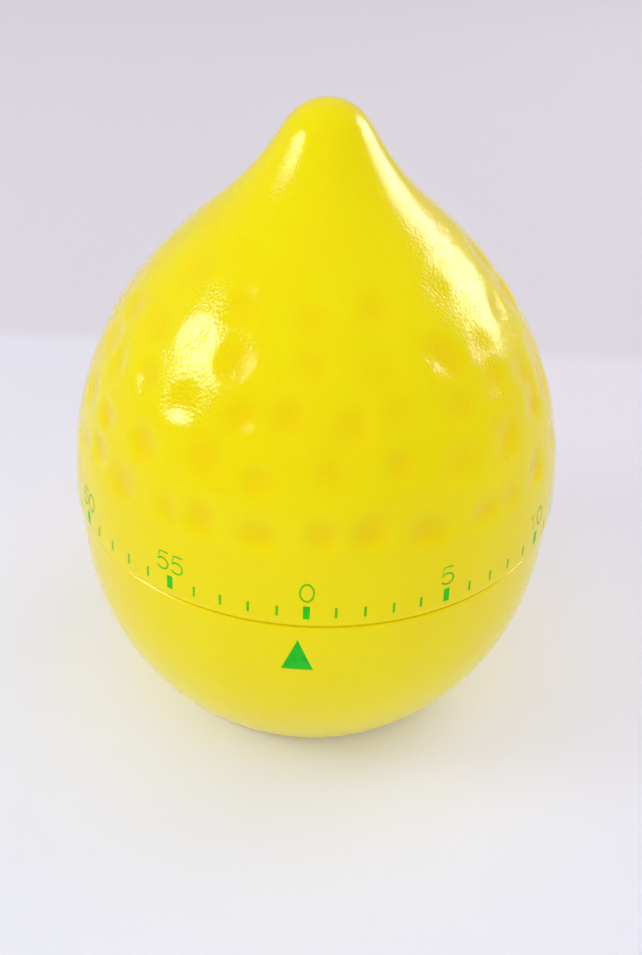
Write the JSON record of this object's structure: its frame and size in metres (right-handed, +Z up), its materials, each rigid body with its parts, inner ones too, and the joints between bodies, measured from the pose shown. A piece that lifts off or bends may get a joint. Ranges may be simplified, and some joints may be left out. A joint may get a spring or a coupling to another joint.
{
  "type": "kitchen timer",
  "caption": "Wind-up 60 minute kitchen timer in the shape of a lemon; the upper part is the dial, turned by hand against a mainspring, with a bell inside.",
  "frame": {"origin": "centre of the underside, on the surface that the timer stands on", "axes": "+Z up through the tip, -Y towards the front with the pointer, +X to the right seen from the front"},
  "size_m": [0.06, 0.06, 0.075],
  "materials": {
    "dial_yellow": "glossy moulded plastic with shallow dimples and a fine peel texture",
    "base_yellow": "smooth glossy moulded plastic",
    "foot_rubber": "matt",
    "plate_brass": "stamped sheet, satin",
    "wheel_brass": "turned and cut, satin",
    "arbor_steel": "polished",
    "lever_steel": "stamped",
    "screw_steel": "zinc plated",
    "spring_steel": "blued",
    "bell_steel": "plated"
  },
  "bodies": {
    "base": {"lower_shell": "base_yellow", "foot_ring": "foot_rubber", "base_screw_1": "screw_steel", "base_screw_2": "screw_steel", "base_screw_3": "screw_steel", "lower_plate": "plate_brass", "upper_plate": "plate_brass", "pillar_1": "wheel_brass", "pillar_2": "wheel_brass", "pillar_3": "wheel_brass", "pillar_screw_1": "screw_steel", "pillar_screw_2": "screw_steel", "pillar_screw_3": "screw_steel", "mainspring": "spring_steel", "spring_post": "arbor_steel", "bell": "bell_steel", "bell_post": "wheel_brass", "bell_screw": "screw_steel", "hammer_spring": "spring_steel", "stop_pin": "arbor_steel", "detent_stud": "arbor_steel", "detent_spring": "spring_steel"},
    "dial": {"upper_shell": "dial_yellow", "main_arbor": "arbor_steel", "cam_disc": "wheel_brass", "stop_arm": "lever_steel", "arbor_clip": "lever_steel", "ratchet_wheel": "lever_steel"},
    "great": {"great_wheel": "wheel_brass", "click_stud": "arbor_steel", "click_spring": "spring_steel"},
    "click": {"click_pawl": "lever_steel"},
    "second": {"second_arbor": "arbor_steel", "second_wheel": "wheel_brass"},
    "third": {"third_arbor": "arbor_steel", "third_wheel": "wheel_brass"},
    "escape": {"escape_arbor": "arbor_steel", "escape_wheel": "wheel_brass"},
    "pallet": {"pallet_arbor": "arbor_steel", "pallet_lever": "lever_steel", "balance_bar": "wheel_brass"},
    "strike": {"strike_arbor": "arbor_steel", "strike_wheel": "wheel_brass"},
    "hammer": {"hammer_arbor": "arbor_steel", "hammer_tail": "lever_steel", "hammer_arm": "lever_steel", "hammer_head": "wheel_brass"},
    "detent": {"detent_lever": "lever_steel"}
  },
  "joints": [
    {"name": "dial_turn", "type": "hinge", "parent": "base", "child": "dial", "pos_m": [0, 0, 0], "axis": [0, 0, -1], "range_deg": [0, 352.5]},
    {"name": "great_turn", "type": "hinge", "parent": "base", "child": "great", "pos_m": [0, 0, 0], "axis": [0, 0, -1], "range_deg": [0, 353]},
    {"name": "click_lift", "type": "hinge", "parent": "great", "child": "click", "pos_m": [-0.00771, -0.0028, 0], "axis": [0, 0, 1], "range_deg": [0, 7], "stiffness_Nm_per_rad": 0.002, "springref_deg": -11.46},
    {"name": "second_turn", "type": "hinge", "parent": "base", "child": "second", "pos_m": [0.0126, 0.00022, 0], "axis": [0, 0, -1], "range_deg": [-2118, 0]},
    {"name": "third_turn", "type": "hinge", "parent": "base", "child": "third", "pos_m": [0.00993, 0.00742, 0], "axis": [0, 0, -1], "range_deg": [0, 10590]},
    {"name": "escape_turn", "type": "hinge", "parent": "base", "child": "escape", "pos_m": [0.00628, 0.01362, 0], "axis": [0, 0, -1], "range_deg": [-52950, 0]},
    {"name": "pallet_rock", "type": "hinge", "parent": "base", "child": "pallet", "pos_m": [0.01041, 0.01625, 0], "axis": [0, 0, 1], "range_deg": [-4, 4]},
    {"name": "strike_turn", "type": "hinge", "parent": "base", "child": "strike", "pos_m": [-0.00891, 0.00891, 0], "axis": [0, 0, -1], "range_deg": [-2118, 0]},
    {"name": "hammer_swing", "type": "hinge", "parent": "base", "child": "hammer", "pos_m": [-0.01541, 0.00718, 0], "axis": [0, 0, -1], "range_deg": [0, 14], "stiffness_Nm_per_rad": 0.002, "springref_deg": -11.46},
    {"name": "detent_lift", "type": "hinge", "parent": "base", "child": "detent", "pos_m": [0.01429, 0.00825, 0], "axis": [0, 0, 1], "range_deg": [0, 6], "stiffness_Nm_per_rad": 0.002, "springref_deg": -11.46}
  ],
  "couplings": [
    {"joint": "great_turn", "follows": "dial_turn", "ratio": 1},
    {"joint": "second_turn", "follows": "dial_turn", "ratio": -6},
    {"joint": "third_turn", "follows": "dial_turn", "ratio": 30},
    {"joint": "escape_turn", "follows": "dial_turn", "ratio": -150},
    {"joint": "strike_turn", "follows": "dial_turn", "ratio": -6}
  ]
}
